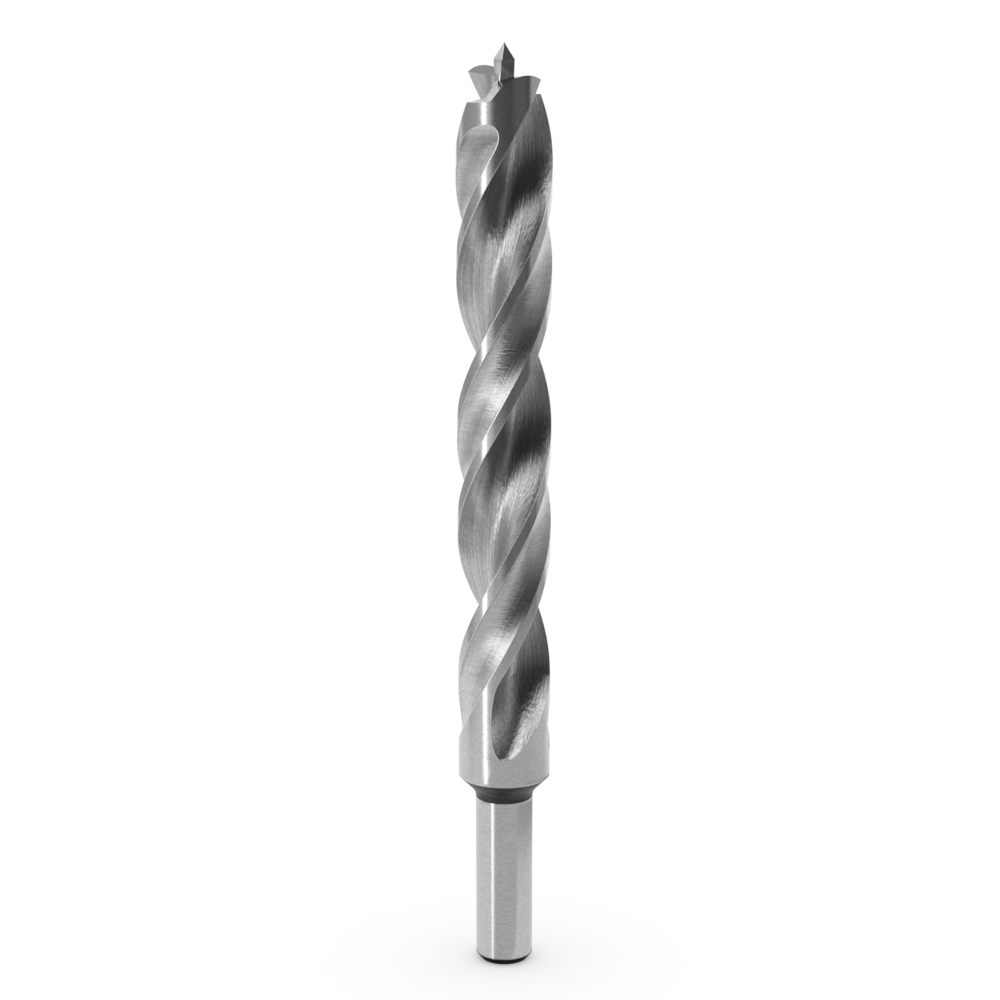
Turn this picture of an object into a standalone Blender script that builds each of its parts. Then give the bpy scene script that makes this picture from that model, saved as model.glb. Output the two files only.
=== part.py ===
"""Wood twist drill bit with a brad point, two spurs and a reduced shank.

One piece of ground steel. Metres, +Z up. The origin is the centre of the
shank's flat end, which the drill stands on, and the brad point is at the top.
"""

import math

import bmesh
import bpy
from mathutils import Vector

# Turned blank
LENGTH = 0.160
BODY_DIAMETER = 0.016
SHANK_DIAMETER = 0.010
SHANK_LENGTH = 0.0308
NECK_FILLET_RADIUS = 0.00266
NECK_CONE_ANGLE = math.radians(45.0)
END_BEVEL_WIDTH = 0.0010
END_BEVEL_HEIGHT = 0.0012

# Flutes and the groove in the back of each land
LEAD = 0.0875
CORE_DIAMETER = 0.0038
FLUTE_ANGLE = math.radians(97.0)
FLUTE_DEEPEST_SHARE = 0.45
FLUTE_CLEAR_OF_NECK = 0.0051
FLUTE_RUNOUT_LENGTH = 0.0134
FLUTE_RUNOUT_POWER = 1.3
FLUTE_LIFT_CLEARANCE = 0.0003
FLUTE_LIFT_ANGLE = math.radians(78.0)
GROOVE_ANGLE = math.radians(54.0)
GROOVE_STEEP_HANDLE_DEPTH = 0.0010
GROOVE_STEEP_HANDLE_SHARE = -0.47
GROOVE_FLOOR_HANDLE_DEPTH = 0.00142
GROOVE_FLOOR_HANDLE_SHARE = 0.16
GROOVE_START_BELOW_SPURS = 0.0068
GROOVE_RUNIN_LENGTH = 0.0042
GROOVE_RUNOUT_LENGTH = 0.010
LEADING_EDGE_AT_BASE = math.radians(42.0)

# Ground point, heights measured down from the tip of the brad
SPUR_DROP = 0.0054
RELIEF_DROP = 0.0056
RELIEF_ANGLE = math.radians(13.0)
RELIEF_FALL_ANGLE = math.radians(5.6)
SPUR_WALL_SPAN = 0.0138
SPUR_WALL_ANGLE = math.radians(56.3)
RELIEF_PAST_CENTRE = 0.0006
BRAD_SIDE = 0.00257
BRAD_POINT_HEIGHT = 0.0027
HEEL_DROP = 0.0086
HEEL_WALL_ANGLE = math.radians(52.0)
HEEL_WALL_OFFSET = 0.0032
HEEL_FILLET_RADIUS = 0.0008
HEEL_FALL_ANGLE = math.radians(5.0)
HEEL_PAST_CENTRE = 0.00086

# Directions of the grinding passes, behind each wing's leading edge
GRIND_BEHIND_LEADING_EDGE = math.radians(30.5)
HEEL_BEHIND_GRIND = math.radians(101.0)
BRAD_CORNER_BEHIND_LEADING_EDGE = math.radians(72.0)

# Fineness of the faceted model
TURNED_STEPS = 64
ARC_STEPS = 6
FLUTE_POINTS = 14
GROOVE_POINTS = 8
GROOVE_END_SHARE = 0.05
HELIX_STEP = 0.0028
RUNOUT_STEP = 0.0014
CUTTER_REACH = 0.0015
WELD_DISTANCE = 1e-7
SHARP_ANGLE = math.radians(24.0)

# Heights and radii that follow
BODY_RADIUS = BODY_DIAMETER / 2
SHANK_RADIUS = SHANK_DIAMETER / 2
CORE_RADIUS = CORE_DIAMETER / 2
FILLET_TOP_RADIUS = SHANK_RADIUS + NECK_FILLET_RADIUS * (1 - math.cos(NECK_CONE_ANGLE))
FILLET_TOP = SHANK_LENGTH + NECK_FILLET_RADIUS * math.sin(NECK_CONE_ANGLE)
BODY_BOTTOM = FILLET_TOP + (BODY_RADIUS - FILLET_TOP_RADIUS) / math.tan(NECK_CONE_ANGLE)
SPUR_HEIGHT = LENGTH - SPUR_DROP
BLANK_TOP = LENGTH - BRAD_POINT_HEIGHT
CUTTER_TOP = LENGTH + CUTTER_REACH
FLUTE_END = BODY_BOTTOM + FLUTE_CLEAR_OF_NECK
FLUTE_LIFT = BODY_RADIUS - CORE_RADIUS + FLUTE_LIFT_CLEARANCE
LAND_ANGLE = math.pi - FLUTE_ANGLE


def polar(radius, angle, height=0.0):
    return Vector((radius * math.cos(angle), radius * math.sin(angle), height))


def twist_at(height):
    """How far the right-hand helix has turned at a height."""
    return math.tau * height / LEAD


def cubic(start, first, second, end, share):
    rest = 1 - share
    return (start * rest**3 + first * (3 * rest**2 * share)
            + second * (3 * rest * share**2) + end * share**3)


def spaced(start, end, step):
    """Evenly spaced heights from start to end, no further apart than step."""
    count = max(1, math.ceil(abs(end - start) / step))
    return [start + (end - start) * i / count for i in range(count + 1)]


def new_object(name, mesh, collection):
    thing = bpy.data.objects.new(name, mesh)
    collection.objects.link(thing)
    return thing


def loft(name, rings, collection):
    """A closed solid through rings of equal point count."""
    shape = bmesh.new()
    loops = [[shape.verts.new(point) for point in ring] for ring in rings]
    count = len(loops[0])
    for lower, upper in zip(loops, loops[1:]):
        for i in range(count):
            j = (i + 1) % count
            shape.faces.new((lower[i], lower[j], upper[j], upper[i]))
    shape.faces.new(loops[0])
    shape.faces.new(loops[-1])
    bmesh.ops.remove_doubles(shape, verts=shape.verts, dist=WELD_DISTANCE)
    bmesh.ops.recalc_face_normals(shape, faces=shape.faces)
    mesh = bpy.data.meshes.new(name)
    shape.to_mesh(mesh)
    shape.free()
    return new_object(name, mesh, collection)


def as_cutter(thing):
    thing.hide_render = True
    thing.display_type = "WIRE"
    return thing


def combine(body, other, operation):
    modifier = body.modifiers.new(other.name, "BOOLEAN")
    modifier.operation = operation
    modifier.object = other
    modifier.solver = "EXACT"


def bevelled_end_points():
    return [(SHANK_RADIUS, END_BEVEL_HEIGHT), (SHANK_RADIUS - END_BEVEL_WIDTH, 0.0)]


def neck_points():
    """The concave fillet from the foot of the neck's cone down to the shank."""
    points = []
    for i in range(ARC_STEPS + 1):
        angle = NECK_CONE_ANGLE * (1 - i / ARC_STEPS)
        radius = SHANK_RADIUS + NECK_FILLET_RADIUS * (1 - math.cos(angle))
        points.append((radius, SHANK_LENGTH + NECK_FILLET_RADIUS * math.sin(angle)))
    return points


def turned_blank(collection):
    outer_side = [(0.0, BLANK_TOP), (BODY_RADIUS, BLANK_TOP), (BODY_RADIUS, BODY_BOTTOM)]
    outer_side += neck_points() + bevelled_end_points() + [(0.0, 0.0)]
    mesh = bpy.data.meshes.new("drill_bit")
    verts = [(radius, 0.0, height) for radius, height in outer_side]
    mesh.from_pydata(verts, [(i, i + 1) for i in range(len(verts) - 1)], [])
    blank = new_object("drill_bit", mesh, collection)
    turn = blank.modifiers.new("turn", "SCREW")
    turn.steps = TURNED_STEPS
    turn.render_steps = TURNED_STEPS
    turn.use_merge_vertices = True
    turn.merge_threshold = WELD_DISTANCE
    return blank


def flute_section():
    """Leading edge, round the core and out to the heel, angles from the leading edge."""
    lead = polar(BODY_RADIUS, 0.0)
    heel = polar(BODY_RADIUS, FLUTE_ANGLE)
    deepest = polar(CORE_RADIUS, FLUTE_ANGLE * FLUTE_DEEPEST_SHARE)
    handle = (deepest * 8 - lead - heel) / 6
    curve = [cubic(lead, handle, handle, heel, i / FLUTE_POINTS) for i in range(FLUTE_POINTS + 1)]
    return reach_outside(curve)


def groove_section():
    """A shallow hollow, steeper on its heel side; angles from its own middle."""
    start = polar(BODY_RADIUS, -GROOVE_ANGLE / 2)
    end = polar(BODY_RADIUS, GROOVE_ANGLE / 2)
    steep_angle = GROOVE_ANGLE * GROOVE_STEEP_HANDLE_SHARE
    floor_angle = GROOVE_ANGLE * GROOVE_FLOOR_HANDLE_SHARE
    steep = polar(BODY_RADIUS - GROOVE_STEEP_HANDLE_DEPTH, steep_angle)
    floor = polar(BODY_RADIUS - GROOVE_FLOOR_HANDLE_DEPTH, floor_angle)
    curve = [cubic(start, steep, floor, end, i / GROOVE_POINTS) for i in range(GROOVE_POINTS + 1)]
    return reach_outside(curve)


def reach_outside(curve):
    """Carry both ends of an open section straight on, out past the blank."""
    first = (curve[0] - curve[1]).normalized()
    last = (curve[-1] - curve[-2]).normalized()
    middle = (curve[0] + curve[-1]).normalized() * (BODY_RADIUS + 2 * CUTTER_REACH)
    return ([curve[0] + first * CUTTER_REACH] + curve
            + [curve[-1] + last * CUTTER_REACH, middle])


def helical_ring(section, angle, height, lift):
    """The section at one height, turned with the helix and lifted out of the work."""
    turn = angle + twist_at(height)
    ring = []
    for point in section:
        moved = point + polar(lift, FLUTE_LIFT_ANGLE)
        radius = math.hypot(moved.x, moved.y)
        ring.append(polar(radius, math.atan2(moved.y, moved.x) + turn, height))
    return ring


def flute_cutter(side, collection):
    """One main flute: full depth to the point, and lifted out above the neck."""
    section = flute_section()
    full_depth = FLUTE_END + FLUTE_RUNOUT_LENGTH
    heights = spaced(FLUTE_END, full_depth, RUNOUT_STEP)
    heights += spaced(full_depth, CUTTER_TOP, HELIX_STEP)[1:]
    angle = LEADING_EDGE_AT_BASE + side * math.pi
    rings = []
    for height in heights:
        share = max(0.0, (full_depth - height) / FLUTE_RUNOUT_LENGTH)
        lift = FLUTE_LIFT * share**FLUTE_RUNOUT_POWER
        rings.append(helical_ring(section, angle, height, lift))
    return as_cutter(loft("flute_cutter_%d" % side, rings, collection))


def rounded_levels(bottom, top):
    """Heights of the groove's rings with its width share, round at both ends."""
    quarter = [i / ARC_STEPS * math.pi / 2 for i in range(ARC_STEPS)]
    ends = [(1 - math.cos(angle), max(GROOVE_END_SHARE, math.sin(angle))) for angle in quarter]
    full_bottom = bottom + GROOVE_RUNOUT_LENGTH
    full_top = top - GROOVE_RUNIN_LENGTH
    levels = [(bottom + GROOVE_RUNOUT_LENGTH * rise, share) for rise, share in ends]
    levels += [(height, 1.0) for height in spaced(full_bottom, full_top, HELIX_STEP)]
    levels += [(top - GROOVE_RUNIN_LENGTH * drop, share) for drop, share in reversed(ends)]
    return levels


def groove_cutter(side, collection):
    """The groove along the middle of one land, narrowing and rising at its ends."""
    section = groove_section()
    middle = LEADING_EDGE_AT_BASE - LAND_ANGLE / 2 + side * math.pi
    rings = []
    for height, share in rounded_levels(FLUTE_END, SPUR_HEIGHT - GROOVE_START_BELOW_SPURS):
        ring = []
        for point in section:
            depth = BODY_RADIUS - math.hypot(point.x, point.y)
            radius = BODY_RADIUS - depth * (share**2 if depth > 0 else 1.0)
            angle = math.atan2(point.y, point.x) * share
            ring.append(polar(radius, middle + angle + twist_at(height), height))
        rings.append(ring)
    return as_cutter(loft("groove_cutter_%d" % side, rings, collection))


def grind_direction(side):
    """Outward direction of the pass that grinds one wing's lip, relief and spur."""
    at_spurs = LEADING_EDGE_AT_BASE + twist_at(SPUR_HEIGHT)
    return at_spurs + side * math.pi - GRIND_BEHIND_LEADING_EDGE


def relief_cutter(side, collection):
    """Clears one wing's top: floor beside the brad, then the spur's inner wall.

    The profile runs outward and is swept backwards and down at the relief angle.
    """
    outward = polar(1.0, grind_direction(side))
    backward = polar(1.0, grind_direction(side) - math.pi / 2)
    inner = -RELIEF_PAST_CENTRE
    wall_foot = SPUR_WALL_SPAN / 2
    reach = BODY_RADIUS + CUTTER_REACH
    floor_inside = LENGTH - RELIEF_DROP - inner * math.tan(RELIEF_FALL_ANGLE)
    floor_at_wall = LENGTH - RELIEF_DROP - wall_foot * math.tan(RELIEF_FALL_ANGLE)
    wall_top = floor_at_wall + (reach - wall_foot) * math.tan(SPUR_WALL_ANGLE)
    ceiling = CUTTER_TOP + reach * math.tan(RELIEF_ANGLE)
    profile = [(inner, floor_inside), (wall_foot, floor_at_wall), (reach, wall_top)]
    profile += [(reach, ceiling), (inner, ceiling)]
    rings = []
    for along in (-reach, reach):
        fall = along * math.tan(RELIEF_ANGLE)
        rings.append([outward * out + backward * along + Vector((0, 0, height - fall))
                      for out, height in profile])
    return as_cutter(loft("relief_cutter_%d" % side, rings, collection))


def heel_cutter(side, collection):
    """Clears the heel of one wing: a sloped wall, a small fillet and a flat."""
    across = grind_direction(side) - HEEL_BEHIND_GRIND
    outward = polar(1.0, across)
    along = polar(1.0, across + math.pi / 2)
    reach = BODY_RADIUS + CUTTER_REACH
    corner = Vector((HEEL_WALL_OFFSET, LENGTH - HEEL_DROP))
    up_wall = Vector((-math.cos(HEEL_WALL_ANGLE), math.sin(HEEL_WALL_ANGLE)))
    out_flat = Vector((math.cos(HEEL_FALL_ANGLE), -math.sin(HEEL_FALL_ANGLE)))
    profile = [corner + up_wall * (HEEL_WALL_OFFSET / math.cos(HEEL_WALL_ANGLE))]
    profile += filleted_corner(corner, up_wall, out_flat, HEEL_FILLET_RADIUS)
    profile += [corner + out_flat * reach, Vector((corner.x + reach, CUTTER_TOP))]
    profile += [Vector((profile[0].x, CUTTER_TOP))]
    rings = [[outward * point.x + along * depth + Vector((0, 0, point.y)) for point in profile]
             for depth in (-HEEL_PAST_CENTRE, reach)]
    return as_cutter(loft("heel_cutter_%d" % side, rings, collection))


def filleted_corner(corner, first, second, radius):
    """Arc points that round a corner between two unit directions leaving it."""
    half = first.angle(second) / 2
    centre = corner + (first + second).normalized() * (radius / math.sin(half))
    start = corner + first * (radius / math.tan(half)) - centre
    end = corner + second * (radius / math.tan(half)) - centre
    sweep = math.pi - 2 * half
    points = []
    for i in range(ARC_STEPS + 1):
        share = i / ARC_STEPS
        blend = (start * math.sin((1 - share) * sweep) + end * math.sin(share * sweep))
        points.append(centre + blend / math.sin(sweep))
    return points


def brad_point(collection):
    """The square centre point, twisted with the helix under a four-sided tip."""
    corner_radius = BRAD_SIDE / math.sqrt(2)
    foot = LENGTH - HEEL_DROP
    shoulder = LENGTH - BRAD_POINT_HEIGHT
    first = LEADING_EDGE_AT_BASE - BRAD_CORNER_BEHIND_LEADING_EDGE
    rings = []
    for height in spaced(foot, shoulder, RUNOUT_STEP):
        turn = first + twist_at(height)
        rings.append([polar(corner_radius, turn + i * math.pi / 2, height) for i in range(4)])
    rings.append([Vector((0, 0, LENGTH)) for _ in range(4)])
    return as_cutter(loft("brad", rings, collection))


def apply_modifiers(thing):
    evaluated = thing.evaluated_get(bpy.context.evaluated_depsgraph_get())
    mesh = bpy.data.meshes.new_from_object(evaluated)
    thing.modifiers.clear()
    thing.data = mesh
    mesh.name = thing.name
    mesh.shade_smooth()
    mesh.set_sharp_from_angle(angle=SHARP_ANGLE)


def ground_steel():
    material = bpy.data.materials.new("ground_steel")
    material.use_nodes = True
    shader = material.node_tree.nodes["Principled BSDF"]
    shader.inputs["Base Color"].default_value = (0.62, 0.62, 0.63, 1.0)
    shader.inputs["Metallic"].default_value = 1.0
    shader.inputs["Roughness"].default_value = 0.24
    return material


def new_collection(name):
    collection = bpy.data.collections.new(name)
    bpy.context.scene.collection.children.link(collection)
    return collection


def main():
    for thing in list(bpy.data.objects):
        bpy.data.objects.remove(thing, do_unlink=True)
    parts = new_collection("wood_twist_drill_bit")
    cutters = new_collection("cutters")

    drill = turned_blank(parts)
    for side in (0, 1):
        combine(drill, flute_cutter(side, cutters), "DIFFERENCE")
        combine(drill, groove_cutter(side, cutters), "DIFFERENCE")
    for side in (0, 1):
        combine(drill, relief_cutter(side, cutters), "DIFFERENCE")
        combine(drill, heel_cutter(side, cutters), "DIFFERENCE")
    combine(drill, brad_point(cutters), "UNION")
    apply_modifiers(drill)
    drill.data.materials.clear()
    drill.data.materials.append(ground_steel())


main()
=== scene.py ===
"""Looks of the wood twist drill bit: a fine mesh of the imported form, steel and studio."""

import math
from collections import namedtuple

import bmesh
import bpy
import numpy as np
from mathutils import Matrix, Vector


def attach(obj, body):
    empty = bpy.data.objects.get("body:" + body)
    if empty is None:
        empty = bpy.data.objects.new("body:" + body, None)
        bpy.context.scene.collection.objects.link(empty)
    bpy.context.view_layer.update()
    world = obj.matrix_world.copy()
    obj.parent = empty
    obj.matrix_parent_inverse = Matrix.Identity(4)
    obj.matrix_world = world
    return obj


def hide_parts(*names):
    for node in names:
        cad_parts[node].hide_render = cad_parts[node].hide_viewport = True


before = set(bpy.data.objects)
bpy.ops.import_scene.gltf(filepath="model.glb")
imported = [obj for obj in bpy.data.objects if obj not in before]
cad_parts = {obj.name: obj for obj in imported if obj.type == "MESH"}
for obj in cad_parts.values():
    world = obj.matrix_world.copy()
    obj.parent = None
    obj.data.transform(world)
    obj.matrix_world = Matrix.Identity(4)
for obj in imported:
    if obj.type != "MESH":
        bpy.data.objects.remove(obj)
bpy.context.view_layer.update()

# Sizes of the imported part, in metres
LENGTH = 0.160
BODY_RADIUS = 0.008
SHANK_RADIUS = 0.005
SHANK_LENGTH = 0.0308
NECK_FILLET_RADIUS = 0.00266
NECK_CONE_ANGLE = math.radians(45.0)
END_BEVEL_WIDTH = 0.0010
END_BEVEL_HEIGHT = 0.0012
LEAD = 0.0875
CORE_RADIUS = 0.0019
FLUTE_ANGLE = math.radians(97.0)
FLUTE_DEEPEST_SHARE = 0.45
FLUTE_CLEAR_OF_NECK = 0.0051
FLUTE_RUNOUT_LENGTH = 0.0134
FLUTE_RUNOUT_POWER = 1.3
FLUTE_LIFT = 0.0064
FLUTE_LIFT_ANGLE = math.radians(78.0)
GROOVE_ANGLE = math.radians(54.0)
GROOVE_STEEP_HANDLE = (0.0010, -0.47)
GROOVE_FLOOR_HANDLE = (0.00142, 0.16)
GROOVE_START_BELOW_SPURS = 0.0068
GROOVE_RUNIN_LENGTH = 0.0042
GROOVE_RUNOUT_LENGTH = 0.010
LEADING_EDGE_AT_BASE = math.radians(42.0)
SPUR_DROP = 0.0054
RELIEF_DROP = 0.0056
RELIEF_ANGLE = math.radians(13.0)
RELIEF_FALL_ANGLE = math.radians(5.6)
SPUR_WALL_SPAN = 0.0138
SPUR_WALL_ANGLE = math.radians(56.3)
RELIEF_PAST_CENTRE = 0.0006
BRAD_SIDE = 0.00257
BRAD_POINT_HEIGHT = 0.0027
HEEL_DROP = 0.0086
HEEL_WALL_ANGLE = math.radians(52.0)
HEEL_WALL_OFFSET = 0.0032
HEEL_FILLET_RADIUS = 0.0008
HEEL_FALL_ANGLE = math.radians(5.0)
HEEL_PAST_CENTRE = 0.00086
GRIND_BEHIND_LEADING_EDGE = math.radians(30.5)
HEEL_BEHIND_GRIND = math.radians(101.0)
BRAD_CORNER_BEHIND_LEADING_EDGE = math.radians(72.0)

# Edge breaks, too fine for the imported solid
LAND_EDGE_BREAK = 0.00012
LAND_EDGE_LARGEST_SHARE = 0.3
LAND_EDGE_HOLD = 2.6
LAND_EDGE_HOLD_LARGEST_SHARE = 0.45
BRAD_CORNER_BREAK = 0.00009
BRAD_CORNER_LARGEST_SHARE = 0.12
BODY_EDGE_BREAK = (0.00002, 0.00004)
SHANK_TOP_BREAK = (0.00003, 0.00002)
SHANK_SHOULDER_HOLD = (0.00006, 0.0004)
BEVEL_TOP_HOLD = (0.00004, 0.0003)
BEVEL_TOP_BREAK = (0.00004, 0.00003)
BEVEL_FOOT_BREAK = (0.00003, 0.00003)
END_FACE_BREAK = 0.00004
END_FACE_RINGS = (0.5, 0.1)

# Fineness of the mesh
FLUTE_COLUMNS = 44
FLUTE_EVEN_SHARE = 0.65
FLUTE_SAMPLES = 801
FLUTE_FEWEST_INSIDE = 3
GROOVE_COLUMNS = 26
MARGIN_COLUMNS = 7
ROUNDED_EXTRA = 4
FILLET_STEPS = 12
SHANK_STEPS = 24
BEVEL_STEPS = 4
BRAD_STEPS = 24
BRAD_POINT_SHARES = (0.12, 0.3, 0.5, 0.7, 0.85, 0.96, 0.992)
HEEL_ARC_STEPS = 10
HALVINGS = 40
TIP_SPLIT = 0.1490
CAP_CORNERS = 20
POINT_SHARP_ANGLE = math.radians(18.0)
BODY_SHARP_ANGLE = math.radians(40.0)
CUTTER_REACH = 0.0015
WELD_DISTANCE = 1e-7
SEAM_HEIGHT_TOLERANCE = 1e-5
SEAM_WELD_DISTANCE = 2e-6
CAP_HEIGHT_TOLERANCE = 1e-6
CYLINDER_TOLERANCE = 2e-6

# Columns of the flute and the groove lie flat on the cylinder past their ends, in a patch that
# widens with the distance to the end
FLUTE_PATCH_WIDTH = (0.004, 0.35)
FLUTE_PATCH_OPENING = 0.004
GROOVE_PATCH_WIDTH = 0.04
GROOVE_PATCH_OPENING = 0.003

# Heights that follow
FILLET_TOP_RADIUS = SHANK_RADIUS + NECK_FILLET_RADIUS * (1 - math.cos(NECK_CONE_ANGLE))
FILLET_TOP = SHANK_LENGTH + NECK_FILLET_RADIUS * math.sin(NECK_CONE_ANGLE)
BODY_BOTTOM = FILLET_TOP + (BODY_RADIUS - FILLET_TOP_RADIUS) / math.tan(NECK_CONE_ANGLE)
SPUR_HEIGHT = LENGTH - SPUR_DROP
BLANK_TOP = LENGTH - BRAD_POINT_HEIGHT
CUTTER_TOP = LENGTH + CUTTER_REACH
FLUTE_END = BODY_BOTTOM + FLUTE_CLEAR_OF_NECK
FLUTE_FULL = FLUTE_END + FLUTE_RUNOUT_LENGTH
GROOVE_TOP = SPUR_HEIGHT - GROOVE_START_BELOW_SPURS
LAND_ANGLE = math.pi - FLUTE_ANGLE
GROOVE_MIDDLE = FLUTE_ANGLE + LAND_ANGLE / 2

# Spans of rings from the body's lower edge upwards, as their upper end and the step in them
RING_SPANS = (
    (FLUTE_END - 0.002, 0.0006),
    (FLUTE_END, 0.0002),
    (FLUTE_END + 0.003, 0.00012),
    (FLUTE_FULL + 0.001, 0.0003),
    (GROOVE_TOP - GROOVE_RUNIN_LENGTH, 0.00042),
    (GROOVE_TOP - 0.001, 0.0003),
    (GROOVE_TOP + 0.0006, 0.00012),
    (TIP_SPLIT, 0.0003),
    (BLANK_TOP, 0.0003),
)

# The turn in radians a metre and the rise of the lines that each kind of grinding leaves, the
# part of the noise's range that is used, and the dark band at the groove's upper end
GRIND_LINES = {"helix": (math.tau / LEAD, 1.0), "ring": (1000.0, 0.0), "axis": (0.0, 1.0)}
NOISE_RANGE = (0.3, 0.7)
RUNIN_BAND_BELOW_TOP = (0.0070, 0.0026, 0.0002)
RUNIN_SHADE = 0.62
WHITE = (1.0, 1.0, 1.0, 1.0)

# Material indices on the drill; the last one is a painted highlight along the rounded land edges
GROUND, FLUTE, GROOVE, SKIN, POINT, BRAD, BRAD_FLANK, EDGE_HIGHLIGHT = range(8)


def polar(radius, angle, height=0.0):
    return Vector((radius * math.cos(angle), radius * math.sin(angle), height))


def twist_at(height):
    return LEADING_EDGE_AT_BASE + math.tau * height / LEAD


def bezier(start, first, second, end, shares):
    """Points of a cubic curve as an array, one row for each share."""
    s = np.asarray(shares)[:, None]
    r = 1 - s
    corners = [np.array(p[:2]) for p in (start, first, second, end)]
    return (corners[0] * r**3 + corners[1] * 3 * r**2 * s
            + corners[2] * 3 * r * s**2 + corners[3] * s**3)


def flute_curve(shares):
    """The flute's section, whose two handles coincide so that its middle is the deepest point."""
    lead = polar(BODY_RADIUS, 0.0)
    heel = polar(BODY_RADIUS, FLUTE_ANGLE)
    deepest = polar(CORE_RADIUS, FLUTE_ANGLE * FLUTE_DEEPEST_SHARE)
    handle = (deepest * 8 - lead - heel) / 6
    return bezier(lead, handle, handle, heel, shares)


def groove_curve(shares):
    steep = polar(BODY_RADIUS - GROOVE_STEEP_HANDLE[0], GROOVE_ANGLE * GROOVE_STEEP_HANDLE[1])
    floor = polar(BODY_RADIUS - GROOVE_FLOOR_HANDLE[0], GROOVE_ANGLE * GROOVE_FLOOR_HANDLE[1])
    ends = polar(BODY_RADIUS, -GROOVE_ANGLE / 2), polar(BODY_RADIUS, GROOVE_ANGLE / 2)
    return bezier(ends[0], steep, floor, ends[1], shares)


def arc_points(start, end, count):
    """Angles and radii of points on the cylinder, both ends left out."""
    angles = np.linspace(start, end, count + 2)[1:-1]
    return np.column_stack([np.full(count, BODY_RADIUS), angles])


def to_polar(points):
    return np.column_stack([np.hypot(points[:, 0], points[:, 1]),
                            np.arctan2(points[:, 1], points[:, 0])])


def flute_at(height):
    """The flute's points at one height as radius and angle, or a patch of plain cylinder."""
    share = min(1.0, max(0.0, (FLUTE_FULL - height) / FLUTE_RUNOUT_LENGTH))
    lift = FLUTE_LIFT * share**FLUTE_RUNOUT_POWER
    shift = np.array(polar(lift, FLUTE_LIFT_ANGLE)[:2])
    fine = np.linspace(0, 1, FLUTE_SAMPLES)
    curve = flute_curve(fine) + shift
    inside = np.nonzero(np.hypot(curve[:, 0], curve[:, 1]) < BODY_RADIUS)[0]
    if share == 0.0:
        low, high = 0.0, 1.0
    elif len(inside) < FLUTE_FEWEST_INSIDE:
        return None
    else:
        low = crossing(fine[inside[0] - 1], fine[inside[0]], shift)
        high = crossing(fine[inside[-1] + 1], fine[inside[-1]], shift)
    waves = (1 - np.cos(np.linspace(0, math.pi, FLUTE_COLUMNS))) / 2
    even = np.linspace(0, 1, FLUTE_COLUMNS)
    spread = (1 - FLUTE_EVEN_SHARE) * waves + FLUTE_EVEN_SHARE * even
    return to_polar(flute_curve(low + (high - low) * spread) + shift)


def crossing(outside, inside, shift):
    """Where the shifted flute curve meets the cylinder, between two curve shares."""
    for _ in range(HALVINGS):
        middle = (outside + inside) / 2
        point = flute_curve([middle])[0] + shift
        if math.hypot(*point) < BODY_RADIUS:
            inside = middle
        else:
            outside = middle
    return inside


def groove_share(height):
    below = (height - FLUTE_END) / GROOVE_RUNOUT_LENGTH
    above = (GROOVE_TOP - height) / GROOVE_RUNIN_LENGTH
    share = min(1.0, max(0.0, min(below, above)))
    return math.sqrt(1 - (1 - share)**2)


def groove_at(height):
    """The groove's points at one height as radius and angle."""
    share = groove_share(height)
    points = to_polar(groove_curve(np.linspace(0, 1, GROOVE_COLUMNS)))
    depth = (BODY_RADIUS - points[:, 0]) * share**2
    away = max(FLUTE_END - height, height - GROOVE_TOP, 0.0)
    width = share if away == 0.0 else min(1.0, GROOVE_PATCH_WIDTH + away / GROOVE_PATCH_OPENING)
    angles = GROOVE_MIDDLE + points[:, 1] * max(width, GROOVE_PATCH_WIDTH)
    return np.column_stack([BODY_RADIUS - depth, angles])


def eased(points, corner):
    """Rounds the section's corner at an index by two close points and a held-in middle."""
    here = points[corner]
    out = []
    for step in (-1, 1):
        there = points[corner + step]
        span = there - here
        length = max(np.linalg.norm(span), 1e-9)
        near = min(LAND_EDGE_BREAK / length, LAND_EDGE_LARGEST_SHARE)
        hold = min(LAND_EDGE_HOLD_LARGEST_SHARE, near * LAND_EDGE_HOLD)
        out.append((here + span * near, here + span * hold))
    middle = (here * 2 + out[0][0] + out[1][0]) / 4
    return [out[0][1], out[0][0], middle, out[1][0], out[1][1]]


def section_at(height):
    """Half a turn of the section as x, y points from the leading edge, before the twist."""
    flute = flute_at(height)
    if flute is None:
        fall = max(0.0, FLUTE_END_HEIGHT - height)
        width = min(FLUTE_PATCH_WIDTH[1], FLUTE_PATCH_WIDTH[0] + fall / FLUTE_PATCH_OPENING)
        angles = FLUTE_END_PHASE + width * np.linspace(-1, 1, FLUTE_COLUMNS)
        flute = np.column_stack([np.full(FLUTE_COLUMNS, BODY_RADIUS), angles])
    groove = groove_at(height)
    first = arc_points(flute[-1, 1], groove[0, 1], MARGIN_COLUMNS)
    second = arc_points(groove[-1, 1], flute[0, 1] + math.pi, MARGIN_COLUMNS)
    rows = np.vstack([flute, first, groove, second])
    after = rows[0] + (0.0, math.pi)
    before = rows[-1] - (0.0, math.pi)
    cyclic = np.vstack([before, rows, after])
    points = np.column_stack([cyclic[:, 0] * np.cos(cyclic[:, 1]),
                              cyclic[:, 0] * np.sin(cyclic[:, 1])])
    groove_start = FLUTE_COLUMNS + MARGIN_COLUMNS
    corners = {0, FLUTE_COLUMNS - 1, groove_start, groove_start + GROOVE_COLUMNS - 1}
    ring = []
    for i in range(len(rows)):
        ring += eased(points, i + 1) if i in corners else [points[i + 1]]
    ring = np.array(ring)
    plain = np.zeros(len(ring), dtype=bool)
    flute_points = FLUTE_COLUMNS + 2 * ROUNDED_EXTRA
    groove_points = GROOVE_COLUMNS + 2 * ROUNDED_EXTRA
    plain[:flute_points] = height <= FLUTE_END or flute_at(height) is None
    groove_first = flute_points + MARGIN_COLUMNS
    plain[groove_first:groove_first + groove_points] = groove_share(height) == 0.0
    ring[plain] *= (BODY_RADIUS / np.hypot(ring[plain, 0], ring[plain, 1]))[:, None]
    return ring


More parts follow.
